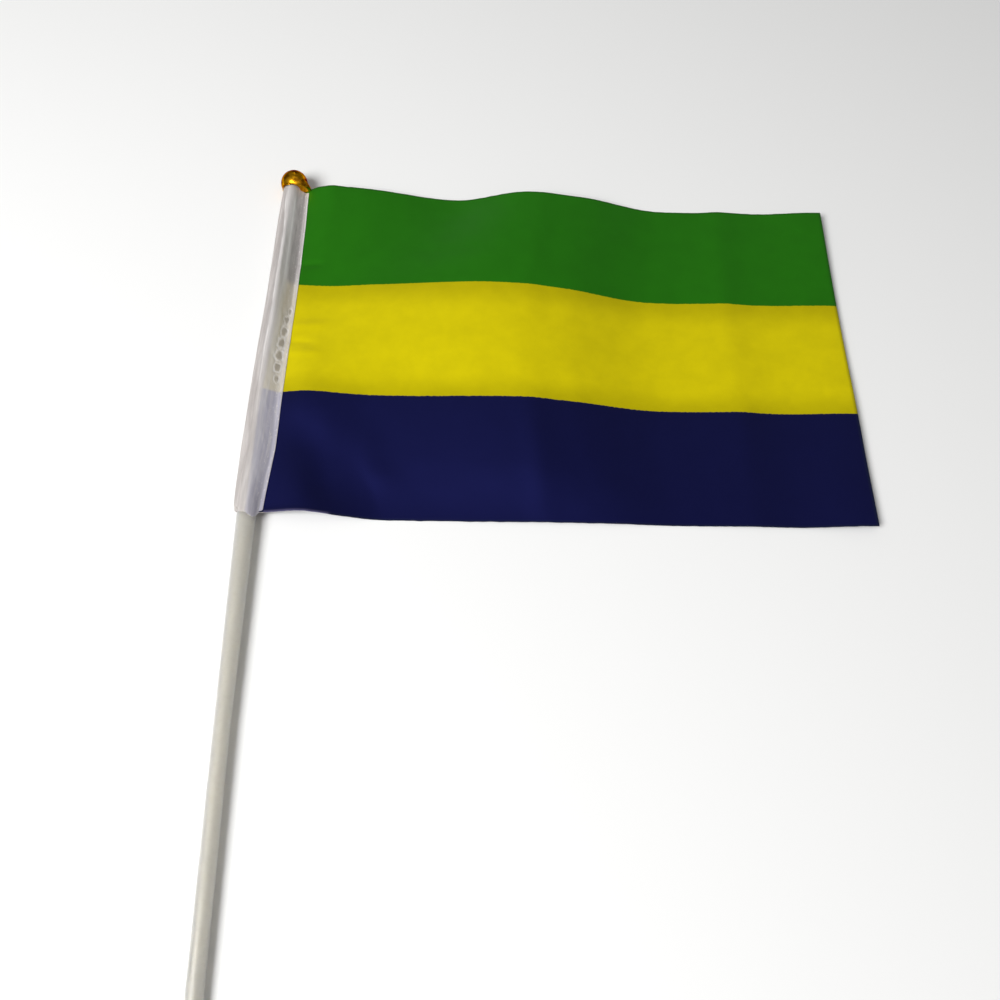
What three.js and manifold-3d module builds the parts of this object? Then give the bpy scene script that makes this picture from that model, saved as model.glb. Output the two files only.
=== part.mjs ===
// A small hand flag lying on a table, face up: a printed cloth panel, the white sleeve round its
// hoist edge, the plastic tube that carries it and the gilt cap on the tube's end.
// Millimetres, +Z up, the table at z = 0. While it is built, x runs from the sleeve to the fly
// edge, y along the sleeve towards the cap, and both are 0 at the lower corner beside the sleeve.

import * as THREE from 'three';
import { mergeVertices } from 'three/addons/utils/BufferGeometryUtils.js';
import Module from 'manifold-3d';

// Room between pieces that touch
const gap = 0.3;

// The cloth as it is cut
const hoist = 140;
const flyReach = 200;
const clothThick = 1;
// How far the fly ends of the bottom and top edges lie towards the cap: the cut is a little askew
const bottomSlant = 2.7;
const topSlant = 0.7;

// The tube: its lower half leans away from the line of the sleeve, and it is thickest at the
// sleeve's foot
const tubeOuter = 4.8;
const tubeInner = 3.4;
const tubeLength = 300;
const tubeTop = 144;
const tubeX = -6.6;
const tubeLean = 0.038;
const bendAt = 2;
const bendSoft = 12;
const bendSteps = [-30, -14, -7, 0, 7, 14, 30];
const tubeRise = 0.0087;
const tubeSides = 20;
const swellY = [-70, -3, 12, 90];
const swellMost = 0.62;

// The sleeve: a strip folded round the tube, its ends over and under the cloth. The cloth's top
// edge drops to the sleeve's top end beside the cap, between the two distances from the hoist.
const sleeveTop = 137.7;
const flapReach = 0.7;
const plyReach = 0.3;
const cornerDrop = { from: 6, to: 2 };

// The cap: a dome on a short skirt, which leans towards the cloth
const capRadius = 5.1;
const capX = -5.4;
const capY = 142.5;
const capSkirt = 4.4;
const capLean = 0.41;
const capLip = 0.8;
const capSides = 32;
const lipSteps = 4;
const domeSteps = 9;
const socketSides = 24;

// The folds are given across five lines of the cloth, from its bottom edge to its top edge
const foldLines = [0, 22, 46, 94, hoist];

// One row for each fold, from the hoist to the fly: x is how far its crest, shoulder or hollow
// lies from the sleeve and z how high the underside stands there, on each of the five lines
const folds = [
  { fold: 'edge inside the sleeve', x: [-2.7, -2.9, -3.3, -3.9, -3.9], z: [3.6, 3.7, 3.8, 2.6, 3.6] },
  { fold: 'hump beside the sleeve', x: [12, 10, 9, 9, 11], z: [5.6, 5.4, 5.6, 2.5, 6.5] },
  { fold: 'hollow next to it', x: [38, 29, 30, 30, 56], z: [0, 1.9, 4.2, 4.6, 0.8] },
  { fold: 'crest of the broad ridge', x: [97, 86, 82, 73, 87], z: [0.9, 4.4, 6.4, 8.5, 8] },
  { fold: 'shoulder of that ridge', x: [112, 103, 98, 94, 108], z: [0.9, 3, 4.8, 6.8, 6.8] },
  { fold: 'foot of that ridge', x: [134, 130, 131, 131, 144], z: [0.3, 0, 0, 0, 0.3] },
  { fold: 'end of the flat stretch', x: [142, 141, 141, 141, 150], z: [0.5, 0, 0, 0, 0.5] },
  { fold: 'low ridge', x: [158, 158, 158, 157, 162], z: [0.9, 1, 1.3, 1.1, 1.5] },
  { fold: 'dip behind it', x: [172, 172, 171, 170, 172], z: [0.7, 0.8, 1, 0.8, 1.3] },
  { fold: 'lifted fly edge', x: [200, 200, 200, 200, 200], z: [3.2, 3, 2.9, 2.5, 3.5] },
];

// Columns of the cloth's mesh beside the sleeve, where it is finest, and the counts past them
const firstColumns = [0.2, 2, 3.5, 6];
const evenColumns = 46;
const clothRows = 22;
const sleeveRows = 16;
const plySegments = 3;
const wrapSegments = 14;

// Finishes
const cloth = { green: '#2a6717', white: '#cdc7c8' };
const plastic = { tube: '#d6d4c8', gilt: '#b8860b' };

const { lerp } = THREE.MathUtils;

// How much the tube's radius has grown at y: to the right and upwards, so its left and lower
// sides stay straight
function tubeSwell(y) {
  const [start, full, end, gone] = swellY;
  const share = Math.min((y - start) / (full - start), (gone - y) / (gone - end));
  return swellMost * THREE.MathUtils.clamp(share, 0, 1);
}

// The axis of the tube at y
function tubeAxis(y) {
  const below = bendAt - y;
  const leaned = (below + Math.hypot(below, bendSoft)) / 2;
  const lift = y - (tubeTop - tubeLength);
  return {
    x: tubeX + tubeLean * leaned + tubeSwell(y),
    z: tubeOuter / 2 + tubeRise * lift + tubeSwell(y),
  };
}

// A curve through points (x, z) that never swings past them, read at one x
function throughPoints(points, x) {
  const last = points.length - 1;
  const rise = (i) => (points[i + 1].z - points[i].z) / (points[i + 1].x - points[i].x);
  const slope = (i) => {
    if (i === 0 || i === last || rise(i - 1) * rise(i) <= 0) return 0;
    return (2 * rise(i - 1) * rise(i)) / (rise(i - 1) + rise(i));
  };
  let i = 0;
  while (i < last - 1 && x > points[i + 1].x) i += 1;
  const width = points[i + 1].x - points[i].x;
  const t = THREE.MathUtils.clamp((x - points[i].x) / width, 0, 1);
  const ease = t * t * (3 - 2 * t);
  const leave = t * (1 - t) * (1 - t) * width * slope(i);
  const arrive = t * t * (t - 1) * width * slope(i + 1);
  return lerp(points[i].z, points[i + 1].z, ease) + leave + arrive;
}

// The height of the cloth's underside over the table
const foldCurves = folds.map((row) => new THREE.CubicInterpolant(
  foldLines,
  row.x.flatMap((x, line) => [x, row.z[line]]),
  2,
));

function clothHeight(x, y) {
  const points = foldCurves.map((curve) => {
    const [foldX, foldZ] = curve.evaluate(THREE.MathUtils.clamp(y, 0, hoist));
    return { x: foldX, z: Math.max(foldZ, 0) };
  });
  return throughPoints(points, x);
}

// A box with its shared corners joined, cut into segments and ready to be shaped
function blank(across, along) {
  const geometry = new THREE.BoxGeometry(1, 1, 1, across, along, 1);
  geometry.translate(0.5, 0.5, 0.5);
  geometry.deleteAttribute('normal');
  geometry.deleteAttribute('uv');
  return mergeVertices(geometry);
}

// Moves every corner of a geometry to place(x, y, z)
function shape(geometry, place) {
  const corners = geometry.getAttribute('position');
  for (let i = 0; i < corners.count; i += 1) {
    corners.setXYZ(i, ...place(corners.getX(i), corners.getY(i), corners.getZ(i)));
  }
  geometry.computeVertexNormals();
  return geometry;
}

// The cloth's own outline: its edge in the sleeve, and its slanted bottom and top edges
function hoistEdge(y) {
  return tubeAxis(y).x + tubeOuter / 2 + tubeSwell(y) + gap;
}

function topEdge(x) {
  const drop = [{ x: cornerDrop.to, z: sleeveTop }, { x: cornerDrop.from, z: hoist }];
  const corner = throughPoints(drop, x);
  return corner + topSlant * Math.max(x, 0) / flyReach;
}

function bottomEdge(x) {
  return bottomSlant * Math.max(x, 0) / flyReach;
}

function panel() {
  const across = firstColumns.length + evenColumns;
  const column = (i, y) => {
    if (i === 0) return hoistEdge(y);
    if (i <= firstColumns.length) return firstColumns[i - 1];
    const share = (i - firstColumns.length) / evenColumns;
    return lerp(firstColumns[firstColumns.length - 1], flyReach, share);
  };
  return shape(blank(across, clothRows), (u, v, w) => {
    const i = Math.round(u * across);
    const guess = column(i, v * hoist);
    const y = lerp(bottomEdge(guess), topEdge(guess), v);
    const x = column(i, y);
    return [x, y, clothHeight(x, y) + w * clothThick];
  });
}

// One face of the folded strip at y: from its upper tip round the tube to its lower tip
function wrapPoint(i, y, radius, upperTip, lowerTip) {
  const axis = tubeAxis(y);
  const touch = (tip, side) => {
    const far = Math.hypot(tip.x - axis.x, tip.z - axis.z);
    return Math.atan2(tip.z - axis.z, tip.x - axis.x) + side * Math.acos(radius / far);
  };
  const from = touch(upperTip, 1);
  const to = touch(lowerTip, -1) + 2 * Math.PI;
  const onArc = (angle) => ({
    x: axis.x + radius * Math.cos(angle),
    z: axis.z + radius * Math.sin(angle),
  });
  const turned = THREE.MathUtils.clamp((i - plySegments) / wrapSegments, 0, 1);
  const arc = onArc(lerp(from, to, turned));
  const share = Math.min(i, 2 * plySegments + wrapSegments - i) / plySegments;
  if (share >= 1) return arc;
  const tip = i < plySegments ? upperTip : lowerTip;
  return { x: lerp(tip.x, arc.x, share), z: lerp(tip.z, arc.z, share) };
}

function sleeve() {
  const across = 2 * plySegments + wrapSegments;
  const reach = tubeOuter / 2 + gap;
  return shape(blank(across, sleeveRows), (u, v, w) => {
    const y = v * sleeveTop;
    const over = clothHeight(flapReach, y) + clothThick + gap + w * clothThick;
    const under = clothHeight(plyReach, y) - gap - w * clothThick;
    const point = wrapPoint(
      Math.round((1 - u) * across),
      y,
      reach + tubeSwell(y) + w * clothThick,
      { x: flapReach, z: over },
      { x: plyReach, z: under },
    );
    return [point.x, y, point.z];
  });
}

// A turned body stands along y, and its profile lists (radius, y)
function turned(profile, sides) {
  const points = profile.map(([radius, y]) => new THREE.Vector2(radius, y));
  const geometry = new THREE.LatheGeometry(points, sides);
  geometry.deleteAttribute('normal');
  geometry.deleteAttribute('uv');
  return mergeVertices(geometry, 1e-4);
}

function tube() {
  const bottom = tubeTop - tubeLength;
  const bends = bendSteps.map((step) => bendAt + step);
  const stops = [bottom, swellY[0], ...bends, swellY[3], tubeTop];
  const outside = stops.map((y) => [tubeOuter / 2 + tubeSwell(y), y]);
  const inside = stops.map((y) => [tubeInner / 2 + tubeSwell(y), y]).reverse();
  const wall = turned([...outside, ...inside, outside[0]], tubeSides);
  return shape(wall, (x, y, z) => {
    const axis = tubeAxis(y);
    return [x + axis.x, y, z + axis.z];
  });
}

// Cuts the second geometry out of the first
const wasm = await Module();
wasm.setup();

function solid(geometry) {
  return new wasm.Manifold(new wasm.Mesh({
    numProp: 3,
    vertProperties: new Float32Array(geometry.getAttribute('position').array),
    triVerts: new Uint32Array(geometry.getIndex().array),
  }));
}

function cut(body, tool) {
  const mesh = solid(body).subtract(solid(tool)).getMesh();
  const geometry = new THREE.BufferGeometry();
  geometry.setAttribute('position', new THREE.BufferAttribute(mesh.vertProperties, 3));
  geometry.setIndex(new THREE.BufferAttribute(mesh.triVerts, 1));
  geometry.computeVertexNormals();
  return geometry;
}

function arc(centre, radius, from, to, steps) {
  return Array.from({ length: steps + 1 }, (_, i) => {
    const angle = lerp(from, to, i / steps);
    return [centre[0] + radius * Math.cos(angle), centre[1] + radius * Math.sin(angle)];
  });
}

function cap() {
  const rim = -capSkirt;
  const lip = arc([capRadius - capLip, rim + capLip], capLip, -Math.PI / 2, 0, lipSteps);
  const dome = arc([0, 0], capRadius, 0, Math.PI / 2, domeSteps);
  dome[dome.length - 1][0] = 0;
  const outside = shape(turned([[0, rim], ...lip, ...dome], capSides), (x, y, z) => [
    x + capX + capLean * Math.max(-y, 0),
    y + capY,
    z + capRadius,
  ]);
  const socket = tubeOuter / 2 + gap;
  const depth = tubeTop + gap;
  const bore = [[0, sleeveTop], [socket, sleeveTop], [socket, depth], [0, depth]];
  const drill = shape(turned(bore, socketSides), (x, y, z) => [
    x + tubeAxis(y).x,
    y,
    z + tubeAxis(y).z,
  ]);
  return cut(outside, drill);
}

function piece(name, geometry, color, roughness, metalness) {
  const material = new THREE.MeshStandardMaterial({ color, roughness, metalness });
  const mesh = new THREE.Mesh(geometry, material);
  mesh.name = name;
  return mesh;
}

const flag = new THREE.Group();
flag.add(
  piece('flag_panel', panel(), cloth.green, 0.7, 0),
  piece('pole_sleeve', sleeve(), cloth.white, 0.6, 0),
  piece('stick_tube', tube(), plastic.tube, 0.4, 0),
  piece('finial_cap', cap(), plastic.gilt, 0.25, 1),
);

// The origin is on the table, under the middle of the flag
const reach = new THREE.Box3().setFromObject(flag);
flag.position.set(-(reach.min.x + reach.max.x) / 2, -(reach.min.y + reach.max.y) / 2, -reach.min.z);

export default flag;
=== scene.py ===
"""A small hand flag lying face up on a pale table: printed cloth, white sleeve, plastic tube
and gilt cap. Run as a script in Blender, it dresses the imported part."""

import math

import bpy
import numpy as np
from mathutils import Matrix, Vector, noise


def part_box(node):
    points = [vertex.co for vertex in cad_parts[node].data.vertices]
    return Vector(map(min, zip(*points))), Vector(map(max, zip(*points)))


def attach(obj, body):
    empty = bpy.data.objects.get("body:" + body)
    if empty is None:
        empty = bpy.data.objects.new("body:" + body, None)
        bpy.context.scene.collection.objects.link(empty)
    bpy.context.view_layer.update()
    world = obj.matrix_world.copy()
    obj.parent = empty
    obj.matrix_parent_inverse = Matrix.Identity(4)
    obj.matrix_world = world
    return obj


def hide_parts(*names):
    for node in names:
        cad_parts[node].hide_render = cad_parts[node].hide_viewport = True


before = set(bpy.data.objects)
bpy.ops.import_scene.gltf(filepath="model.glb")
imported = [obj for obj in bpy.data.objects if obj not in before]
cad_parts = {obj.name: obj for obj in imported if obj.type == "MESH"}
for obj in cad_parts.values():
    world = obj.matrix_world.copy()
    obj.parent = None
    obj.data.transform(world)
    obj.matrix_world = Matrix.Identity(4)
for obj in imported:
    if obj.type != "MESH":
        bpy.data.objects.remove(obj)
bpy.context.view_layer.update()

bl_info = {
    "name": "Stick flag",
    "version": (1, 0, 0),
    "blender": (4, 5, 0),
    "location": "3D View > Sidebar > Stick flag",
    "description": "Models a small hand flag on its tube",
    "category": "Object",
}

MM = 0.001
BODY = "root"

# The hoist frame: x runs from the sleeve to the fly edge, y along the sleeve to the cap, in
# millimetres, and both are 0 at the lower corner beside the sleeve
FLY_REACH = 200.0
HOIST = 140.0
HOIST_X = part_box("flag_panel")[1].x - FLY_REACH * MM
HOIST_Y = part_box("pole_sleeve")[0].y
TUBE_BOTTOM, TUBE_TOP = ((corner.y - HOIST_Y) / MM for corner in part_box("stick_tube"))

# The tube: its lower half leans away from the line of the sleeve. It swells towards the
# sleeve's foot, given as pairs of y and growth of the radius, and its axis drops by a share
# of that growth
TUBE_X = -6.6
TUBE_LEAN = 0.038
TUBE_BEND = 2.0
TUBE_BEND_SOFT = 12.0
TUBE_RISE = 0.0087
TUBE_RADIUS = 2.4
TUBE_SWELL = ((-70, 0.0), (-3, 0.62), (2, 0.62), (26, 0.0))
TUBE_DROP = 0.7

# Heights over the cloth's fold surface of the layers that lie on each other beside the tube,
# and the gap between the cloth's hidden edge and the tube
CLOTH_MIDDLE = 0.17
FLAP_MIDDLE = 0.42
PLY_MIDDLE = -0.12
EDGE_GAP = 0.3

# The five lines of the cloth on which its folds are given, and one row for each fold: how far
# it lies from the sleeve and how high it stands on each line
FOLD_LINES = (0, 22, 46, 94, 140)
FOLDS = (
    {"fold": "edge in the sleeve", "x": (-2.7, -3.5, -3.8, -3.9, -3.9), "z": (3.6, 3.7, 3.8, 2.6, 3.6)},
    {"fold": "hump beside the sleeve", "x": (12, 10, 9, 9, 11), "z": (5.6, 5.4, 5.6, 2.5, 6.5)},
    {"fold": "hollow next to it", "x": (38, 29, 30, 30, 56), "z": (0, 1.9, 4.2, 4.6, 1.7)},
    {"fold": "crest of the broad ridge", "x": (97, 86, 82, 73, 85), "z": (0.9, 4.4, 6.4, 8.5, 8.1)},
    {"fold": "shoulder of that ridge", "x": (112, 103, 98, 94, 106), "z": (0.9, 3, 4.8, 6.8, 6.2)},
    {"fold": "foot of that ridge", "x": (134, 130, 131, 131, 137), "z": (0.3, 0.1, 0.1, 0, 0.2)},
    {"fold": "end of the flat stretch", "x": (142, 140, 139, 137, 150), "z": (0.5, 0.3, 0.3, 0, 0.5)},
    {"fold": "low ridge", "x": (158, 158, 158, 157, 162), "z": (0.9, 1.0, 1.3, 1.1, 1.5)},
    {"fold": "dip behind it", "x": (172, 172, 171, 170, 172), "z": (0.7, 0.8, 1.0, 0.8, 1.3)},
    {"fold": "lifted fly edge", "x": (200, 200, 200, 200, 200), "z": (3.2, 3, 2.9, 2.5, 3.5)},
)

# The main creases, each a soft ridge, or a trough where its height is negative: it runs from
# one place on the cloth to another, is this wide and this high, and fades out at its ends
CREASES = (
    {"crease": "dent in the blue", "from": (8, 34), "to": (21, 3), "wide": 7.5, "high": -2.0},
    {"crease": "far bank of that dent", "from": (24, 34), "to": (38, 8), "wide": 6.0, "high": 0.6},
    {"crease": "pucker in the green", "from": (0, 103), "to": (8, 104.5), "wide": 1.3, "high": -0.35},
    {"crease": "upper tuck in the yellow", "from": (0, 75), "to": (12, 76), "wide": 2.0, "high": 0.4},
    {"crease": "groove under it", "from": (0, 68), "to": (8, 67.5), "wide": 1.4, "high": -0.35},
    {"crease": "lower tuck in the yellow", "from": (0, 63), "to": (11, 63), "wide": 1.8, "high": 0.35},
    {"crease": "swell in the green", "from": (26, 144), "to": (50, 112), "wide": 12.0, "high": 0.5},
    {"crease": "lift at the upper corner", "from": (1, 142), "to": (12, 142), "wide": 7.0, "high": 0.5},
    {"crease": "crest line, blue", "from": (90, 2), "to": (85, 46), "wide": 5.0, "high": 0.45},
    {"crease": "crest line, green", "from": (84, 80), "to": (90, 138), "wide": 5.0, "high": 0.4},
    {"crease": "crest of the low ridge", "from": (160, 4), "to": (158, 136), "wide": 5.0, "high": 0.35},
)
# The share of a crease's length over which each end fades, and its reach aside in half widths
CREASE_FADE = 0.3
CREASE_REACH = 3

# Slack in the cloth between its folds: the length of each wave along x and y, and its height.
# It starts beside the sleeve
SLACK_WAVES = (
    {"x": 31, "y": 24, "seed": 3.1, "high": 0.22},
    {"x": 9, "y": 8, "seed": 7.7, "high": 0.05},
)
SLACK_FROM = (-2.0, 3.0)
# The cloth lies flat where its folds end, and from this height up it shows all its creases
FREE_HEIGHT = 1.5

# The cloth's mesh, and how much closer its columns stand beside the sleeve
CLOTH_COLUMNS = 210
CLOTH_ROWS = 150
CLOSER = 0.72
CLOSER_AT_START = 1.6

# The cloth's cut edges: how far the upper and lower ones rise from the sleeve to the fly, how
# far the upper corner drops and over which x, how far and how often the cut wanders, and how
# far in the heat has darkened it
UPPER_RISE = 0.7
LOWER_RISE = 2.7
CORNER_DROP = 0.6
CORNER_X = (0.4, 4.5)
RAGGED = 0.12
RAGGED_LONG = 2.3
MELTED = (0.05, 0.6)

# A narrow strip along the lower edge is turned up, from the sleeve to where it dies out, and
# this share of the pale back's colour shows on it
TURN_WIDE = 1.2
TURN_HIGH = 0.35
TURN_START = -0.5
TURN_END = (14.0, 24.0)
TURN_PALE = 0.8

# The two seams of the print along the hoist, half the width of each, how far the dye bleeds,
# and how much the print slants over the cloth's length
LOWER_SEAM = 46.0
UPPER_SEAM = 94.2
SEAM_SOFT = 0.15
BLEED = 0.25
PRINT_SLANT = 0.8 / FLY_REACH

# The sleeve's strip: its mesh, how long it is, how far its middle stands off the tube, and how
# loose it is on the tube's left until it goes taut under the cap
STRIP_STEPS = 84
STRIP_ROWS = 230
STRIP_TOP = 137.7
STRIP_OFF = 0.14
STRIP_LOOSE = 0.35
STRIP_TAUT = (122.0, 137.0)

# Along the sleeve, as pairs of y and value: how much looser the strip is on the tube's left,
# where the flap's edge lies, and where the edge of the cloth shows through the strip
STRIP_SLACK = ((0, 0.3), (2, 0.8), (10, 1.0), (60, 0.7), (90, 0.0))
FLAP_TIP = ((0, -0.6), (6, -0.35), (13, 0.1), (23, 0.8), (122, 0.8), (134, 0.5))
CLOTH_EDGE = ((0, -5.6), (40, -6.1), (60, -5.2), (94, -4.0), (140, -3.9))

# The flap: how far it lies flat behind its tip, how far behind the tip its foot is, the x that
# the foot doesn't pass, and how much higher it is. From the foot the strip rises over the
# tube's right side to its shoulder, and it stands fuller there near its lower end
TIP_FLAT = 0.8
FOOT_BEHIND = 1.3
FOOT_LIMIT = -0.9
FOOT_HIGHER = 0.1
FULLER_UP_TO = (10, 50)
SHOULDER = {"angle": 62, "fuller": 8, "off": 0.08}
HALFWAY = {"off": -0.1, "fuller": 0.25}

# The lower ply: x of its bend under the tube, its middle and its end under the cloth
PLY_BEND = -2.9
PLY_BEND_LOWER = 0.3
PLY_X = (-1.4, 0.3)

# Round the tube from its top to its right underside: the angle, the share of the slack there,
# and how far the strip stands off besides
ROUND_TUBE = (
    (90, 0, 0),
    (122, 0, 0),
    (152, 0.3, 0),
    (182, 1, 0),
    (215, 0.85, 0),
    (250, 0, 0.05),
    (285, 0, 0),
    (318, 0, 0.05),
)

# How far the strip's lower and upper cut edges lie from a straight cut, at places across it:
# the lower edge has a loose corner beside the cloth and a tongue on the tube. The lower cut
# wanders, and each cut's shape dies out along the sleeve
CUT_ENDS = {
    "across": (0, 1.0, 1.8, 2.6, 3.6, 4.6, 6.0, 8.4, 10.0, 11.0, 12.4, 14.0, 26.0),
    "lower": (0.9, -0.1, -1.2, -2.1, -2.3, -2.0, -1.2, -0.8, 0.0, 0.4, 0.9, 0.4, 0.0),
    "upper": (0.1, 0.1, 0.2, 0.4, 1.0, 1.8, 1.8, 1.8, 1.8, 1.8, 1.8, 1.0, 0.0),
}
CUT_WANDER = 0.15
CUT_WANDER_LONG = 0.9
LOWER_CUT = (0.0, 7.0)
UPPER_CUT = (132.0, STRIP_TOP)

# Drops of hot glue that show through the flap beside the yellow stripe, and one by the lower
# end that is a painted shadow under the strip's cut end: how far each lies from the flap's edge
# and along the sleeve, and its half width and length
GLUE_AND_SHADOW_DROPS = (
    (2.9, 51.0, 0.9, 1.5),
    (3.1, 55.6, 1.2, 1.9),
    (3.2, 60.9, 1.4, 2.2),
    (3.0, 66.4, 1.3, 2.3),
    (2.8, 71.7, 1.2, 2.1),
    (2.4, 76.9, 0.9, 1.9),
    (1.6, 81.2, 0.7, 1.5),
    # Painted shadow under the strip's cut end, drawn as a drop
    (9.5, 1.3, 0.9, 0.35),
)

# The wobble of each drop's outline, and where its wet middle ends and its rim lies, in shares
# of its size. The rim is raised, and painted white as a highlight
GLUE_WOBBLE = {"across": 1.1, "along": 1.6, "share": 0.45}
GLUE_WET = (0.6, 0.95)
GLUE_RIM = {"at": 1.1, "wide": 0.2, "high": 0.12, "white": 0.7}

# The strip's relief: its lengthwise crease, so far from the flap's edge, ripples along it, and
# lumps of glue beneath it. A painted highlight makes the crease whiter than the rest
CREST = {"at": 8.7, "wander": 0.5, "every": 21, "wide": 0.3, "high": 0.12, "white wide": 0.25}
RIPPLE = {"across": 2.6, "along": 17, "high": 0.10, "lowest": -0.04}
LUMP = {"across": 1.3, "along": 3.0, "high": 0.06}

# Stretches across the strip, from the flap's edge: where its front ends, where the relief
# starts and ends, where no lumps are on the tube's left, and where the strip lies on the tube,
# which ends at the crease and is measured from there
FRONT_END = 11
RELIEF_FROM = (0.2, 1.2)
RELIEF_TO = (12.5, 14.0)
SMOOTH_FROM = (9.5, 12.0)
SMOOTH_TO = (13.5, 15.5)
ON_TUBE_FROM = (4.2, 5.4)
ON_TUBE_TO = (-0.7, 0.0)

# How far up the sleeve each painted highlight line begins: along the crease, along the cloth's
# edge under the strip and along the flap's edge. The first two fade out under the cap
CREST_FROM = (30, 60)
PLY_HIGHLIGHT = {"wide": 0.25, "white": 0.4}
PLY_HIGHLIGHT_FROM = (85, 100)
EDGE_HIGHLIGHT_WIDE = (0.15, 0.45)
EDGE_HIGHLIGHT_FROM = (60, 108)
LINES_END = (131, 136)
BROKEN = {"across": 1.5, "along": 6.0, "least": 0.75, "more": 0.5}

# Painted light on the strip over the tube's right side: how much it is lightened, at the sleeve's foot
# and further up
FLANK_LIGHT = 0.15
FLANK_LIGHT_MORE = 0.35
FLANK_LIGHT_UP = (40, 80)

# The tube's rings below, above and round its bend, and the rounding of its cut ends
TUBE_STOPS_BELOW = (-110.0, -70.0, -58.0, -46.0)
TUBE_STOPS_ABOVE = (60.0, 90.0)
TUBE_BEND_STEPS = range(-36, 37, 6)
TUBE_SIDES = 64
TUBE_EDGE_ROUND = 0.12

# The middle of the cap's dome in the hoist frame
CAP_X = -5.4
CAP_Y = 142.0
CAP_SIDES = 48

# The cap's rings from the bottom of its socket out round the rolled rim to the dome: place
# along the tube from the dome's middle, half width and half height, and how far the middle
# lies towards the cloth and up, all in cap radii. The skirt leans to the cloth
CAP_RINGS = (
    {"ring": "bottom of the socket", "along": 0.30, "wide": 0.50, "high": 0.50, "lean": -0.235, "up": 0},
    {"ring": "wall of the socket", "along": 0.28, "wide": 0.62, "high": 0.62, "lean": -0.20, "up": 0},
    {"ring": "behind the mouth", "along": -0.60, "wide": 0.64, "high": 0.64, "lean": -0.16, "up": 0.03},
    {"ring": "mouth", "along": -0.74, "wide": 0.66, "high": 0.65, "lean": -0.15, "up": 0.03},
    {"ring": "lip", "along": -0.78, "wide": 0.72, "high": 0.69, "lean": -0.09, "up": 0.02},
    {"ring": "face of the rim", "along": -0.76, "wide": 0.86, "high": 0.69, "lean": 0.12, "up": 0},
    {"ring": "turn of the rim", "along": -0.70, "wide": 1.00, "high": 0.725, "lean": 0.24, "up": 0},
    {"ring": "edge of the rim", "along": -0.60, "wide": 1.07, "high": 0.80, "lean": 0.27, "up": 0},
    {"ring": "skirt", "along": -0.44, "wide": 1.085, "high": 0.895, "lean": 0.19, "up": 0},
    {"ring": "upper skirt", "along": -0.22, "wide": 1.05, "high": 0.972, "lean": 0.075, "up": 0},
)
DOME_DEGREES = (0, 15, 30, 45, 60, 75)
POLE_RING = {"ring": "beside the pole", "along": 0.996, "wide": 0.08, "high": 0.08, "lean": 0, "up": 0}

# The key light's place over the table and its size, and the other lamps: place and target in
# the hoist frame, size in metres and power in watts
KEY_SPOT = (-529, -498)
KEY_SIZE = 0.6
CLOTH_CENTRE = (90, 60, 0)
LAMPS = (
    {"name": "Ceiling panel", "at": (90, 60, 1300), "to": CLOTH_CENTRE, "size": 1.2, "power": 1.4},
    {"name": "Rear lamp", "at": (-67, 1110, 761), "to": (-5, 142, 5), "size": 0.12, "power": 0.12},
)
ROOM_LIGHT = 0.17
FLOOR_SIZE = 6.0

# The camera's place in the hoist frame, the way its picture's right, down and forward
# directions point, and its lens, as long as the sensor is wide
CAMERA_PLACE = (61.21, -147.13, 289.46)
CAMERA_RIGHT = Vector((0.998534, 0.009263, 0.053337))
CAMERA_DOWN = Vector((0.033502, -0.879652, -0.474436))
CAMERA_FORWARD = Vector((0.042523, 0.475527, -0.878673))
CAMERA_LENS = 36.0

# Blender's names of the nodes that the materials use most
MATH = "ShaderNodeMath"
RANGE = "ShaderNodeMapRange"
MIX = "ShaderNodeMix"
NOISE = "ShaderNodeTexNoise"
STRETCH = "ShaderNodeMapping"
MARK = "ShaderNodeAttribute"
BUMP = "ShaderNodeBump"


def place(x, y, z):
    """Turn a place in the hoist frame, in millimetres, into one in the part's frame."""
    return Vector((HOIST_X + x * MM, HOIST_Y + y * MM, z * MM))


def ease(value, low, high):
    """Go smoothly from 0 at low to 1 at high."""
    t = np.clip((value - low) / (high - low), 0, 1)
    return t * t * (3 - 2 * t)


def span(value, rise, fall):
    """Be 1 between a rise and a fall, each given by its two ends, and 0 outside them."""
    return ease(value, *rise) * (1 - ease(value, *fall))


def between(pairs, at):
    """Read a value off the straight lines that join pairs of place and value."""
    return float(np.interp(at, *zip(*pairs)))


def tube_axis(y):
    """Where the middle of the tube is at y."""
    below = TUBE_BEND - y
    leaned = (below + math.hypot(below, TUBE_BEND_SOFT)) / 2
    swell = between(TUBE_SWELL, y)
    x = TUBE_X + TUBE_LEAN * leaned + swell
    return x, TUBE_RADIUS + TUBE_RISE * (y - TUBE_BOTTOM) - TUBE_DROP * swell


def along_lines(values, y):
    """Read at y a smooth curve through one value on each fold line."""
    last = len(FOLD_LINES) - 1
    i = max(k for k in range(last) if k == 0 or FOLD_LINES[k] <= y)
    start, end = FOLD_LINES[i], FOLD_LINES[i + 1]
    before = FOLD_LINES[i - 1] if i > 0 else 2 * start - end
    after = FOLD_LINES[i + 2] if i + 2 <= last else 2 * end - start
    half = (end - start) / 2
    w0, w1 = half / (start - before), half / (after - end)
    p = (y - start) / (end - start)
    p2, p3 = p * p, p * p * p
    shares = (
        -w0 * p3 + 2 * w0 * p2 - w0 * p,
        (1 + w0) * p3 + (-1.5 - 2 * w0) * p2 + (-0.5 + w0) * p + 1,
        (-1 - w1) * p3 + (1.5 + w1) * p2 + 0.5 * p,
        w1 * p3 - w1 * p2,
    )
    around = (max(i - 1, 0), i, i + 1, min(i + 2, last))
    return sum(share * values[k] for share, k in zip(shares, around))


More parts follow.
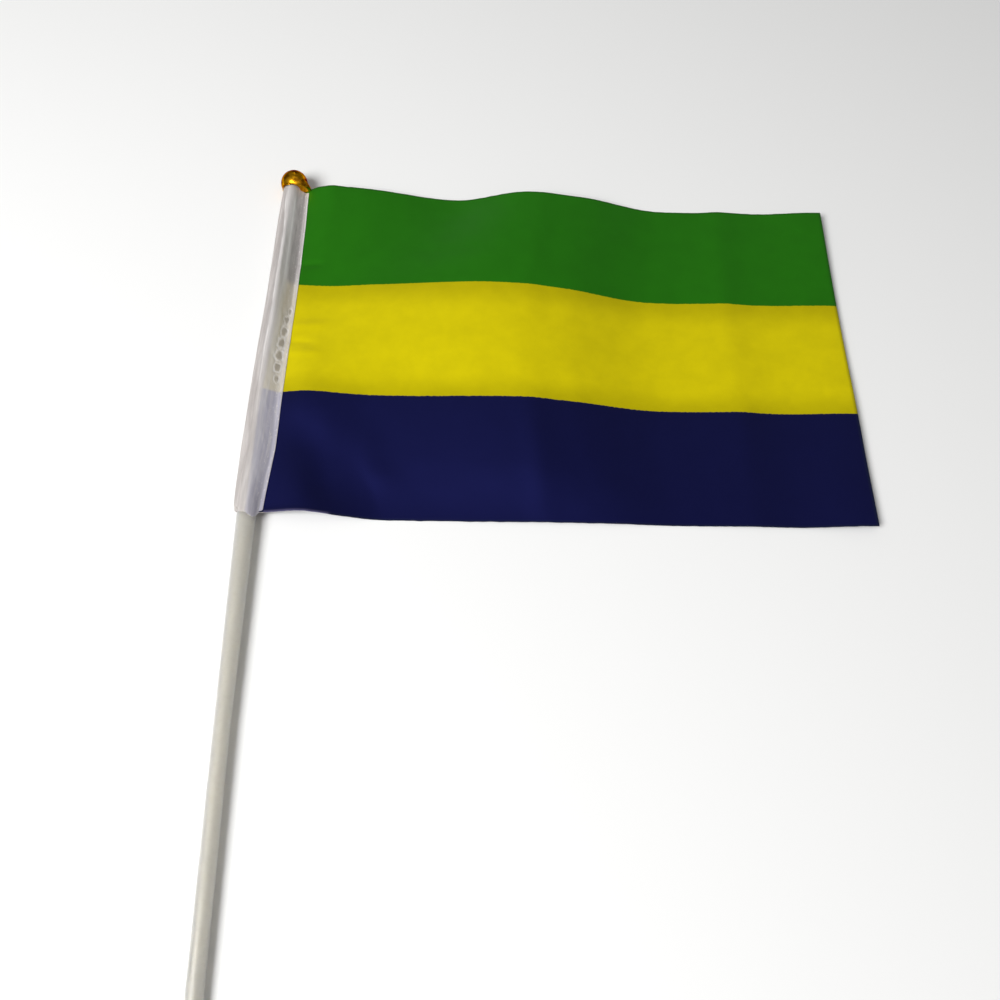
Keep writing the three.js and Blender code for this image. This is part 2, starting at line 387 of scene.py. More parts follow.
def fold_height(x, y):
    """Height of the folds over the table at one place on the cloth."""
    y = min(max(y, 0.0), HOIST)
    xs = [along_lines(row["x"], y) for row in FOLDS]
    zs = [max(along_lines(row["z"], y), 0.0) for row in FOLDS]
    last = len(xs) - 1

    def rise(i):
        return (zs[i + 1] - zs[i]) / (xs[i + 1] - xs[i])

    def slope(i):
        if i in (0, last) or rise(i - 1) * rise(i) <= 0:
            return 0.0
        return 2 * rise(i - 1) * rise(i) / (rise(i - 1) + rise(i))

    i = 0
    while i < last - 1 and x > xs[i + 1]:
        i += 1
    wide = xs[i + 1] - xs[i]
    t = min(max((x - xs[i]) / wide, 0.0), 1.0)
    blend = t * t * (3 - 2 * t)
    leave = t * (1 - t) ** 2 * wide * slope(i)
    arrive = t * t * (t - 1) * wide * slope(i + 1)
    return zs[i] + (zs[i + 1] - zs[i]) * blend + leave + arrive


def crease_height(x, y):
    """How much the creases lift or lower the cloth at one place."""
    total = 0.0
    for crease in CREASES:
        (x0, y0), (x1, y1) = crease["from"], crease["to"]
        dx, dy = x1 - x0, y1 - y0
        long = math.hypot(dx, dy)
        t = ((x - x0) * dx + (y - y0) * dy) / long ** 2
        aside = ((x - x0) * dy - (y - y0) * dx) / long / crease["wide"]
        if -CREASE_FADE < t < 1 + CREASE_FADE and abs(aside) < CREASE_REACH:
            fade = span(t, (-CREASE_FADE, CREASE_FADE), (1 - CREASE_FADE, 1 + CREASE_FADE))
            total += crease["high"] * fade * math.exp(-aside * aside)
    return total


def slack_height(x, y):
    """How much the slack lifts or lowers the cloth at one place."""
    return sum(
        wave["high"] * noise.noise((x / wave["x"], y / wave["y"], wave["seed"]))
        for wave in SLACK_WAVES
    )


def cloth_height(x, y):
    """Height of the cloth with its creases, never under the table."""
    folds = fold_height(x, y)
    free = ease(folds, 0.0, FREE_HEIGHT)
    past_sleeve = ease(x, *SLACK_FROM)
    extra = crease_height(x, y) + slack_height(x, y) * past_sleeve
    return max(folds + free * extra, 0.0)


def cloth_spot(u, v):
    """One spot of the cloth, u of the way to the fly and v of the way up the hoist: its place,
    its flat place in metres, and its marks for the material."""
    close = u * u * (CLOSER_AT_START - (CLOSER_AT_START - 1) * u)
    share = CLOSER * close + (1 - CLOSER) * u
    hidden_edge = tube_axis(v * HOIST)[0] + TUBE_RADIUS + EDGE_GAP
    x = hidden_edge + share * (FLY_REACH - hidden_edge)
    fly = max(x, 0.0) / FLY_REACH
    top = HOIST + UPPER_RISE * fly - CORNER_DROP * (1 - ease(x, *CORNER_X))
    bottom = LOWER_RISE * fly
    y = bottom + v * (top - bottom)
    # The cut wanders in the outermost two rows
    wander = RAGGED * noise.noise((x / RAGGED_LONG, y / RAGGED_LONG, 1.0))
    wander *= max(0.0, 1 - min(v, 1 - v) * CLOTH_ROWS / 2)
    turn = (1 - ease(x, *TURN_END)) * max(0.0, 1 - (y - bottom) / TURN_WIDE)
    z = cloth_height(x, y) + TURN_HIGH * turn
    marks = {
        "edge": 1 - ease(min(y - bottom, top - y, FLY_REACH - x), *MELTED),
        "turned": TURN_PALE * ease(turn, 0.2, 0.5) if x > TURN_START else 0.0,
    }
    return place(x, y + wander, z + CLOTH_MIDDLE), (x * MM, y * MM), marks


def smooth_path(points, steps):
    """A round curve through points, cut into even steps, and the length gone at each."""
    points = [np.array(p, float) for p in points]
    ends = [2 * points[0] - points[1]] + points + [2 * points[-1] - points[-2]]
    dense = []
    for i in range(1, len(ends) - 2):
        p0, p1, p2, p3 = ends[i - 1 : i + 3]
        for t in np.linspace(0, 1, 12, endpoint=False):
            a = 2 * p1
            b = (p2 - p0) * t
            c = (2 * p0 - 5 * p1 + 4 * p2 - p3) * t * t
            d = (3 * p1 - p0 - 3 * p2 + p3) * t ** 3
            dense.append((a + b + c + d) / 2)
    dense = np.array(dense + [ends[-2]])
    gone = np.concatenate([[0], np.cumsum(np.linalg.norm(np.diff(dense, axis=0), axis=1))])
    at = np.linspace(0, gone[-1], steps + 1)
    return np.stack([np.interp(at, gone, dense[:, k]) for k in (0, 1)], 1), at


def sleeve_section(y):
    """The strip's middle line at y, from the flap's edge over the tube to its lower end."""
    axis_x, axis_z = tube_axis(y)
    swell = between(TUBE_SWELL, y)
    reach = TUBE_RADIUS + swell + STRIP_OFF
    slack = STRIP_LOOSE * (1 - ease(y, *STRIP_TAUT)) + between(STRIP_SLACK, y)
    tip = between(FLAP_TIP, y)
    full = 1 - ease(y, *FULLER_UP_TO)

    def on_cloth(x, above):
        return x, cloth_height(x, y) + above

    def on_tube(angle, off):
        turn = math.radians(angle)
        return axis_x + (reach + off) * math.cos(turn), axis_z + (reach + off) * math.sin(turn)

    foot = on_cloth(min(tip - FOOT_BEHIND, FOOT_LIMIT), FLAP_MIDDLE + FOOT_HIGHER)
    shoulder = on_tube(SHOULDER["angle"] + SHOULDER["fuller"] * full, SHOULDER["off"])
    middle_x, middle_z = (foot[0] + shoulder[0]) / 2, (foot[1] + shoulder[1]) / 2
    return [
        on_cloth(tip, FLAP_MIDDLE),
        on_cloth(tip - TIP_FLAT, FLAP_MIDDLE),
        foot,
        (middle_x, middle_z + HALFWAY["off"] + HALFWAY["fuller"] * full),
        shoulder,
        *(on_tube(angle, share * slack + off) for angle, share, off in ROUND_TUBE),
        on_cloth(PLY_BEND + swell, PLY_MIDDLE - PLY_BEND_LOWER),
        *(on_cloth(x, PLY_MIDDLE) for x in PLY_X),
    ]


def drop_spot(s, y):
    """How wet the strip is at one place with a drop of glue, and how near the drop's rim is. The drop by
    the lower end is a painted shadow, not glue.
    """
    wet = rim = 0.0
    for middle_s, middle_y, half_wide, half_long in GLUE_AND_SHADOW_DROPS:
        away = math.hypot((s - middle_s) / half_wide, (y - middle_y) / half_long)
        wobble = noise.noise((s / GLUE_WOBBLE["across"], y / GLUE_WOBBLE["along"], 6.0))
        away += GLUE_WOBBLE["share"] * wobble
        wet = max(wet, 1 - ease(away, *GLUE_WET))
        rim = max(rim, math.exp(-((away - GLUE_RIM["at"]) / GLUE_RIM["wide"]) ** 2))
    return wet, rim


def strip_lift(s, y, from_crest, rim):
    """How far the strip stands off its middle line: creased, rippled and lumpy with glue."""
    crest = CREST["high"] * math.exp(-(from_crest / CREST["wide"]) ** 2)
    ripple = RIPPLE["high"] * noise.noise((s / RIPPLE["across"], y / RIPPLE["along"], 2.0))
    lump = LUMP["high"] * noise.noise((s / LUMP["across"], y / LUMP["along"], 9.0))
    lump *= 1 - span(s, SMOOTH_FROM, SMOOTH_TO)
    total = crest + max(ripple, RIPPLE["lowest"]) + lump + GLUE_RIM["high"] * rim
    return total * span(s, RELIEF_FROM, RELIEF_TO)


def strip_marks(x, s, y, from_crest, wet, rim):
    """What the material shows at one place on the strip: the print under it with painted shade, glue,
    and white for painted highlights and painted light.
    """
    from_edge = x - between(CLOTH_EDGE, y)
    under = ply = 0.0
    if s < FRONT_END:
        # Where the cloth lies beneath: its print showing through, and painted shade of the valley beside
        # the tube
        under = ease(from_edge, -0.5, 0.7) * (1 - 0.35 * (1 - ease(s, 0.1, 0.5)))
        # Painted highlight: a white line along the cloth's edge beneath the strip
        ply = PLY_HIGHLIGHT["white"] * math.exp(-(from_edge / PLY_HIGHLIGHT["wide"]) ** 2)
    broken = noise.noise((s / BROKEN["across"], y / BROKEN["along"], 8.0))
    broken = BROKEN["least"] + BROKEN["more"] * broken
    # Painted highlight: a white line along the crease
    crest = math.exp(-(from_crest / CREST["white wide"]) ** 2) * ease(y, *CREST_FROM) * broken
    lines = max(crest, ply * ease(y, *PLY_HIGHLIGHT_FROM)) * (1 - ease(y, *LINES_END))
    # Painted highlight: a white line along the flap's edge
    edge_highlight = (1 - ease(s, *EDGE_HIGHLIGHT_WIDE)) * ease(y, *EDGE_HIGHLIGHT_FROM) * broken
    on_tube = ease(s, *ON_TUBE_FROM) * (1 - ease(from_crest, *ON_TUBE_TO))
    # Painted light: the strip over the tube's right side is lightened
    painted_flank_light = (FLANK_LIGHT + FLANK_LIGHT_MORE * ease(y, *FLANK_LIGHT_UP)) * on_tube
    # All painted highlights and the painted light, mixed towards white
    white = min(lines + edge_highlight + GLUE_RIM["white"] * rim + painted_flank_light, 1.0)
    return {"under": under, "glue": wet, "white": white}


def sleeve_row(v):
    """The strip's spots v of the way up, as cloth_spot gives them, and its length across."""
    y = STRIP_TOP * v
    line, at = smooth_path(sleeve_section(y), STRIP_STEPS)
    crest_line = CREST["at"] + CREST["wander"] * noise.noise((y / CREST["every"], 0.0, 5.0))
    row = []
    for i, ((x, z), s) in enumerate(zip(line, at)):
        before, after = line[max(i - 1, 0)], line[min(i + 1, STRIP_STEPS)]
        tangent = (after - before) / np.linalg.norm(after - before)
        inward = np.array([tangent[1], -tangent[0]])
        wet, rim = drop_spot(s, y)
        lifted = np.array([x, z]) - inward * strip_lift(s, y, s - crest_line, rim)
        low = np.interp(s, CUT_ENDS["across"], CUT_ENDS["lower"])
        low += CUT_WANDER * noise.noise((s / CUT_WANDER_LONG, 0.0, 4.0))
        high = np.interp(s, CUT_ENDS["across"], CUT_ENDS["upper"])
        cut_y = y + low * (1 - ease(y, *LOWER_CUT)) + high * ease(y, *UPPER_CUT)
        marks = strip_marks(x, s, y, s - crest_line, wet, rim)
        row.append((place(lifted[0], cut_y, lifted[1]), (s * MM, y * MM), marks))
    return row, float(at[-1])


def linear(code):
    """Turn an sRGB hex colour into linear red, green, blue and an alpha of 1."""
    parts = [int(code[i : i + 2], 16) / 255 for i in (1, 3, 5)]
    return [v / 12.92 if v <= 0.04045 else ((v + 0.055) / 1.055) ** 2.4 for v in parts] + [1.0]


def join(tree, node, inputs):
    """Set a node's inputs, or link each to a socket or to the live output of a node."""
    for socket, value in inputs.items():
        if isinstance(value, bpy.types.Node):
            value = next(output for output in value.outputs if output.enabled)
        if isinstance(value, bpy.types.NodeSocket):
            tree.links.new(value, node.inputs[socket])
        else:
            node.inputs[socket].default_value = value


def add(tree, kind, inputs=None, **settings):
    """Add a node with its settings and its inputs."""
    made = tree.nodes.new(kind)
    for name, value in settings.items():
        setattr(made, name, value)
    join(tree, made, inputs or {})
    return made


def new_material(name):
    """Start a material, and give its node tree and its shader."""
    material = bpy.data.materials.new(name)
    material.use_nodes = True
    tree = material.node_tree
    shader = next(n for n in tree.nodes if n.type == "BSDF_PRINCIPLED")
    return material, tree, shader


def finish_piece(piece, node, material):
    """Give a piece its material, and let it ride and stand for its CAD node."""
    piece.data.materials.clear()
    piece.data.materials.append(material)
    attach(piece, BODY)
    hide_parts(node)


def deselect_all():
    """Leave edit mode and deselect every object."""
    if bpy.context.object and bpy.context.object.mode != "OBJECT":
        bpy.ops.object.mode_set(mode="OBJECT")
    bpy.ops.object.select_all(action="DESELECT")


def choose(piece):
    """Select one object alone and make it the active one."""
    deselect_all()
    piece.select_set(True)
    bpy.context.view_layer.objects.active = piece


def apply_modifier(piece, kind, **settings):
    """Add a modifier with its settings and apply it."""
    choose(piece)
    modifier = piece.modifiers.new(kind.title(), kind)
    for name, value in settings.items():
        setattr(modifier, name, value)
    bpy.ops.object.modifier_apply(modifier=modifier.name)


def lay_sheet(name, grid, thick):
    """Make a thin sheet from rows of spots. Its UV map holds their flat places in metres, and
    each of their marks becomes an attribute."""
    rows, columns = len(grid), len(grid[0])
    spots = [spot for row in grid for spot in row]
    faces = [
        (r * columns + c, r * columns + c + 1, (r + 1) * columns + c + 1, (r + 1) * columns + c)
        for r in range(rows - 1)
        for c in range(columns - 1)
    ]
    mesh = bpy.data.meshes.new(name)
    mesh.from_pydata([tuple(spot[0]) for spot in spots], [], faces)
    uv = mesh.uv_layers.new(name="Cut")
    for loop in mesh.loops:
        uv.data[loop.index].uv = spots[loop.vertex_index][1]
    for key in spots[0][2]:
        layer = mesh.attributes.new(key, "FLOAT", "POINT")
        layer.data.foreach_set("value", [float(spot[2][key]) for spot in spots])
    piece = bpy.data.objects.new(name, mesh)
    bpy.context.scene.collection.objects.link(piece)
    apply_modifier(piece, "SOLIDIFY", thickness=thick, offset=0.0, use_even_offset=True)
    choose(piece)
    bpy.ops.object.shade_smooth_by_angle(angle=math.radians(50))
    return piece


def ring_body(name, rings, sides):
    """Extrude a circle from ring to ring. Each has a middle, half a width and half a height."""
    deselect_all()
    middle, wide, high = rings[0]
    bpy.ops.mesh.primitive_circle_add(
        vertices=sides,
        radius=wide,
        location=middle,
        rotation=(math.radians(90), 0, 0),
    )
    piece = bpy.context.object
    piece.name = piece.data.name = name
    bpy.ops.object.transform_apply(location=True, rotation=True, scale=True)
    bpy.ops.object.mode_set(mode="EDIT")
    bpy.ops.mesh.select_all(action="SELECT")
    bpy.ops.transform.resize(value=(1, 1, high / wide), center_override=middle)
    for next_middle, next_wide, next_high in rings[1:]:
        bpy.ops.mesh.extrude_region_move(
            TRANSFORM_OT_translate={"value": next_middle - middle}
        )
        shares = (next_wide / wide, 1, next_high / high)
        bpy.ops.transform.resize(value=shares, center_override=next_middle)
        middle, wide, high = next_middle, next_wide, next_high
    return piece


def length(name, description, default, low, high):
    """A length that a user can change, given in millimetres."""
    return bpy.props.FloatProperty(
        name=name,
        description=description,
        default=default * MM,
        min=low * MM,
        max=high * MM,
        subtype="DISTANCE",
        unit="LENGTH",
    )


def colour(name, description, code):
    """A colour that a user can change, given as sRGB hex."""
    return bpy.props.FloatVectorProperty(
        name=name,
        description=description,
        default=linear(code),
        min=0.0,
        max=1.0,
        size=4,
        subtype="COLOR",
    )


class FLAG_PG_cloth(bpy.types.PropertyGroup):
    """Sizes and colours of the printed cloth."""

    thickness: length("Thickness", "Thickness of the cloth with its print", 0.24, 0.1, 1)
    thread: length("Thread spacing", "Distance from one thread to the next", 0.3, 0.2, 2)
    green: colour("Green", "Colour of the top stripe", "#1d640a")
    yellow: colour("Yellow", "Colour of the middle stripe", "#cfc006")
    blue: colour("Blue", "Colour of the bottom stripe", "#080a29")


class FLAG_PG_sleeve(bpy.types.PropertyGroup):
    """Sizes and colours of the sleeve."""

    thickness: length("Thickness", "Thickness of the sleeve's strip", 0.18, 0.1, 1)
    white: colour("White", "Colour of the strip over the tube", "#aea7a4")


class FLAG_PG_tube(bpy.types.PropertyGroup):
    """Sizes and colours of the tube."""

    wall: length("Wall", "Thickness of the tube's wall", 0.7, 0.3, 2)
    white: colour("Off-white", "Colour of the tube", "#fdf8ec")


class FLAG_PG_cap(bpy.types.PropertyGroup):
    """Sizes and colours of the cap."""

    radius: length("Radius", "Radius of the cap's dome", 5.1, 3, 10)
    gilt: colour("Gilt", "Colour of the plating", "#f2ae1c")


class FLAG_PG_stage(bpy.types.PropertyGroup):
    """Floor and light."""

    floor: colour("Floor", "Colour of the floor", "#f6f6f5")
    key_power: bpy.props.FloatProperty(
        name="Key power",
        description="Power of the large soft light",
        default=15.6,
        min=0.0,
        unit="POWER",
    )
    key_height: length("Key height", "Height of the large soft light", 863, 100, 3000)


def cloth_material(settings):
    """Woven polyester, dye-printed: saturated matt colour with a weak satin gloss."""
    material, tree, shader = new_material("Printed polyester")
    where = add(tree, "ShaderNodeUVMap", uv_map="Cut")
    parts = add(tree, "ShaderNodeSeparateXYZ", {0: where}).outputs
    u, v = parts[0], parts[1]
    up = add(tree, MATH, {0: u, 1: -PRINT_SLANT, 2: v}, operation="MULTIPLY_ADD")
    # The dye bleeds about a tenth of a millimetre along the threads
    bleed = add(tree, NOISE, {"Vector": where, "Scale": 900.0})
    wobble = add(
        tree, MATH, {0: bleed, 1: 2 * BLEED * MM, 2: -BLEED * MM}, operation="MULTIPLY_ADD"
    )
    wavy = add(tree, MATH, {0: up, 1: wobble}, operation="ADD")
    over_lower, over_upper = (
        add(
            tree,
            RANGE,
            {0: wavy, 1: (seam - SEAM_SOFT) * MM, 2: (seam + SEAM_SOFT) * MM},
            interpolation_type="SMOOTHSTEP",
        )
        for seam in (LOWER_SEAM, UPPER_SEAM)
    )
    # The yellow is darker near its two seams
    near_lower, near_upper = (
        add(tree, RANGE, {0: up, 1: far * MM, 2: near * MM}, interpolation_type="SMOOTHSTEP")
        for far, near in ((56, 46), (82, 94))
    )
    near = add(tree, MATH, {0: near_lower, 1: near_upper}, operation="MAXIMUM")
    deep = add(tree, MATH, {0: near, 1: 0.9}, operation="MULTIPLY")
    yellow = add(tree, MIX, {0: deep, 6: settings.yellow, 7: linear("#b3a604")}, data_type="RGBA")
    lower_two = add(tree, MIX, {0: over_lower, 6: settings.blue, 7: yellow}, data_type="RGBA")
    stripes = add(tree, MIX, {0: over_upper, 6: lower_two, 7: settings.green}, data_type="RGBA")
    # Uneven dye, in soft spots of about 8 mm
    spots = add(tree, NOISE, {"Vector": where, "Scale": 120.0, "Detail": 4.0, "Roughness": 0.6})
    dye = add(tree, RANGE, {0: spots, 1: 0.25, 2: 0.75}, interpolation_type="SMOOTHSTEP")
    shade = add(tree, MATH, {0: dye, 1: 0.1, 2: 0.95}, operation="MULTIPLY_ADD")
    base = add(tree, "ShaderNodeVectorMath", {0: stripes, "Scale": shade}, operation="SCALE")
    # The heat-cut edge is darker, where the cloth has melted
    edge = add(tree, MARK, attribute_name="edge").outputs["Fac"]
    melted = add(tree, MATH, {0: edge, 1: 0.6}, operation="MULTIPLY")
    base = add(tree, MIX, {0: melted, 6: base, 7: linear("#1a2016")}, data_type="RGBA")
    # The turned strip by the sleeve shows the paler back of the cloth
    turned = add(tree, MARK, attribute_name="turned").outputs["Fac"]
    base = add(tree, MIX, {0: turned, 6: base, 7: linear("#5f5a7c")}, data_type="RGBA")
    # The gloss of the filaments takes the colour of their dye
    blue, yellow, green = linear("#6268ea"), linear("#e4d838"), linear("#78ff50")
    gloss = add(tree, MIX, {0: over_lower, 6: blue, 7: yellow}, data_type="RGBA")
    gloss = add(tree, MIX, {0: over_upper, 6: gloss, 7: green}, data_type="RGBA")
    # Plain weave with uneven threads
    waves = []
    for along in (u, v):
        threads = add(tree, MATH, {0: along, 1: settings.thread}, operation="DIVIDE")
        turns = add(tree, MATH, {0: threads, 1: math.pi}, operation="MULTIPLY")
        waves.append(add(tree, MATH, {0: turns}, operation="SINE"))
    weave = add(tree, MATH, {0: waves[0], 1: waves[1]}, operation="MULTIPLY")
    drawn = add(tree, STRETCH, {"Vector": where, "Scale": (260.0, 1500.0, 1.0)})
    slub = add(tree, NOISE, {"Vector": drawn, "Scale": 1.0})
    relief = add(tree, MATH, {0: slub, 1: 0.8, 2: weave}, operation="MULTIPLY_ADD")
    bump = add(tree, BUMP, {"Height": relief, "Strength": 0.25, "Distance": 0.05 * MM})
    join(tree, shader, {"Base Color": base, "Specular Tint": gloss, "Normal": bump})
    join(tree, shader, {"Roughness": 0.5, "IOR": 1.5, "Specular IOR Level": 0.85})
    return material


def sleeve_material(settings):
    """Thin white polyester soaked with hot glue: milky, a little see-through, glossy in spots."""
    material, tree, shader = new_material("Glued polyester strip")
    where = add(tree, "ShaderNodeUVMap", uv_map="Cut")
    parts = add(tree, "ShaderNodeSeparateXYZ", {0: where}).outputs
    across, along = parts[0], parts[1]
    # The mark called white holds painted highlights and painted light
    under, glue, white = (
        add(tree, MARK, attribute_name=name).outputs["Fac"] for name in ("under", "glue", "white")
    )
    # The print shows faintly where the cloth lies beneath, greyed and darkened as painted shade of the
    # valley between the tube and the flap
    over_lower, over_upper = (
        add(tree, RANGE, {0: along, 1: low * MM, 2: high * MM}, interpolation_type="SMOOTHSTEP")
        for low, high in ((45.2, 46.4), (92, 96))
    )
    blue, yellow, green = linear("#aeabb8"), linear("#cfc5b3"), linear("#aea8a6")
    tint = add(tree, MIX, {0: over_lower, 6: blue, 7: yellow}, data_type="RGBA")
    tint = add(tree, MIX, {0: over_upper, 6: tint, 7: green}, data_type="RGBA")
    base = add(tree, MIX, {0: under, 6: settings.white, 7: tint}, data_type="RGBA")
    # Lengthwise streaks about a millimetre wide
    drawn = add(tree, STRETCH, {"Vector": where, "Scale": (900.0, 60.0, 1.0)})
    streak = add(tree, NOISE, {"Vector": drawn, "Scale": 1.0, "Detail": 4.0, "Roughness": 0.6})
    streaks = add(tree, RANGE, {0: streak, 1: 0.4, 2: 0.75}, interpolation_type="SMOOTHSTEP")
    # Flecks of glue about 0.8 mm across, thickest along the flap
    drawn = add(tree, STRETCH, {"Vector": where, "Scale": (1300.0, 700.0, 1.0)})
    fleck = add(tree, NOISE, {"Vector": drawn, "Scale": 1.0})
    fleck = add(tree, RANGE, {0: fleck, 1: 0.58, 2: 0.72}, interpolation_type="SMOOTHSTEP")
    by_flap = add(tree, RANGE, {0: across, 1: 5 * MM, 2: 1.5 * MM}, interpolation_type="SMOOTHSTEP")
    flecks = add(tree, MATH, {0: fleck, 1: by_flap}, operation="MULTIPLY")
    # Over the base lie the streaks, the flecks and the darker drops of glue, one of them a painted
    # shadow. The strip is whiter along its crease, the cloth's edge beneath, the flap's edge and
    # round each drop: painted highlights; and on the tube's right side: painted light
    for mark, strength, code in (
        (streaks, 0.5, "#dcd6d2"),
        (flecks, 0.6, "#e4dfda"),
        (glue, 0.55, "#8d877c"),
        (white, 0.9, "#fdf8f4"),
    ):
        share = add(tree, MATH, {0: mark, 1: strength}, operation="MULTIPLY")
        base = add(tree, MIX, {0: share, 6: base, 7: linear(code)}, data_type="RGBA")
    rough = add(tree, MATH, {0: glue, 1: -0.25, 2: 0.5}, operation="MULTIPLY_ADD")
    relief = add(tree, MATH, {0: streak, 1: 0.6, 2: flecks}, operation="MULTIPLY_ADD")
    bump = add(tree, BUMP, {"Height": relief, "Strength": 0.5, "Distance": 0.12 * MM})
    join(tree, shader, {"Base Color": base, "Roughness": rough, "Normal": bump})
    join(tree, shader, {"IOR": 1.5, "Specular IOR Level": 0.3})
    join(
        tree,
        shader,
        {
            "Subsurface Weight": 0.5,
            "Subsurface Radius": (1.0, 0.95, 0.9),
            "Subsurface Scale": 1 * MM,
        },
    )
    return material


def tube_material(settings):
    """Extruded polystyrene: even off-white, satin, with faint die lines along it. Light passes
    through its thin wall and softens its shaded side."""
    material, tree, shader = new_material("Extruded polystyrene")
    where = add(tree, "ShaderNodeTexCoord").outputs["Object"]
    dust = add(tree, NOISE, {"Vector": where, "Scale": 700.0, "Detail": 3.0})
    dusty = add(tree, RANGE, {0: dust, 1: 0.45, 2: 0.75}, interpolation_type="SMOOTHSTEP")
    share = add(tree, MATH, {0: dusty, 1: 0.18}, operation="MULTIPLY")
    base = add(tree, MIX, {0: share, 6: settings.white, 7: linear("#c9c2b2")}, data_type="RGBA")
    drawn = add(tree, STRETCH, {"Vector": where, "Scale": (1600.0, 12.0, 1600.0)})
    lines = add(tree, NOISE, {"Vector": drawn, "Scale": 1.0, "Detail": 3.0})
    bump = add(tree, BUMP, {"Height": lines, "Strength": 0.25, "Distance": 0.04 * MM})
    join(tree, shader, {"Base Color": base, "Normal": bump})
    join(tree, shader, {"Roughness": 0.42, "IOR": 1.59, "Specular IOR Level": 0.3})
    join(
        tree,
        shader,
        {
            "Subsurface Weight": 1.0,
            "Subsurface Radius": (1.0, 0.95, 0.85),
            "Subsurface Scale": 2.5 * MM,
            "Transmission Weight": 0.8,
            "Sheen Weight": 0.7,
            "Sheen Roughness": 0.7,
        },
    )
    return material


def cap_material(settings):
    """Moulded plastic plated with a thin gold-coloured layer: a clear, slightly wavy mirror."""
    material, tree, shader = new_material("Gilt plated plastic")
    where = add(tree, "ShaderNodeTexCoord").outputs["Object"]
    # Darker patches of about 3 mm: painted reflections of dark things round the cap
    dark_reflection_patch = add(tree, NOISE, {"Vector": where, "Scale": 350.0, "Detail": 3.0})
    thin = add(tree, RANGE, {0: dark_reflection_patch, 1: 0.45, 2: 0.65}, interpolation_type="SMOOTHSTEP")
    share = add(tree, MATH, {0: thin, 1: 0.75}, operation="MULTIPLY")
    base = add(tree, MIX, {0: share, 6: settings.gilt, 7: linear("#7a3e06")}, data_type="RGBA")
    ripple = add(tree, NOISE, {"Vector": where, "Scale": 500.0})
    bump = add(tree, BUMP, {"Height": ripple, "Strength": 0.04, "Distance": 0.12 * MM})
    join(tree, shader, {"Base Color": base, "Normal": bump})
    join(tree, shader, {"Metallic": 1.0, "Roughness": 0.22, "Specular Tint": linear("#7a3c06")})
    return material


class FLAG_OT_cloth(bpy.types.Operator):
    """Lay the printed cloth in its folds"""

    bl_idname = "stick_flag.cloth"
    bl_label = "Printed cloth"

    def execute(self, context):
        settings = context.scene.flag_cloth
        grid = [
            [cloth_spot(c / CLOTH_COLUMNS, r / CLOTH_ROWS) for c in range(CLOTH_COLUMNS + 1)]
            for r in range(CLOTH_ROWS + 1)
        ]
        cloth = lay_sheet("flag_cloth", grid, settings.thickness)
        finish_piece(cloth, "flag_panel", cloth_material(settings))
        return {"FINISHED"}


class FLAG_OT_sleeve(bpy.types.Operator):
    """Fold the white strip round the tube and the cloth's edge"""

    bl_idname = "stick_flag.sleeve"
    bl_label = "Sleeve"

    def execute(self, context):
        settings = context.scene.flag_sleeve
        grid, lengths = zip(*(sleeve_row(r / STRIP_ROWS) for r in range(STRIP_ROWS + 1)))
        strip = lay_sheet("sleeve_strip", grid, settings.thickness)
        finish_piece(strip, "pole_sleeve", sleeve_material(settings))
        return {"FINISHED"}


class FLAG_OT_tube(bpy.types.Operator):
    """Extrude the hollow tube along its slightly bent axis"""

    bl_idname = "stick_flag.tube"
    bl_label = "Tube"

    def execute(self, context):
        settings = context.scene.flag_tube
        bend = [TUBE_BEND + step for step in TUBE_BEND_STEPS]
        rings = []
        for y in (TUBE_BOTTOM, *TUBE_STOPS_BELOW, *bend, *TUBE_STOPS_ABOVE, TUBE_TOP):
            x, z = tube_axis(y)
            radius = (TUBE_RADIUS + between(TUBE_SWELL, y)) * MM
            rings.append((place(x, y, z), radius, radius))
        tube = ring_body("stick", rings, TUBE_SIDES)
        bpy.ops.mesh.select_all(action="SELECT")
        bpy.ops.mesh.normals_make_consistent(inside=False)
        bpy.ops.object.mode_set(mode="OBJECT")
        # The wall is open at both ends, so one face tells whether all point outwards
        face = tube.data.polygons[0]
        y = (face.center.y - HOIST_Y) / MM
        x, z = tube_axis(y)
        if face.normal.dot(face.center - place(x, y, z)) < 0:
            tube.data.flip_normals()
        apply_modifier(tube, "SOLIDIFY", thickness=settings.wall, offset=-1.0)
        apply_modifier(
            tube,
            "BEVEL",
            width=TUBE_EDGE_ROUND * MM,
            segments=2,
            limit_method="ANGLE",
            angle_limit=math.radians(60),
        )
        bpy.ops.object.shade_smooth_by_angle(angle=math.radians(40))
        finish_piece(tube, "stick_tube", tube_material(settings))
        return {"FINISHED"}


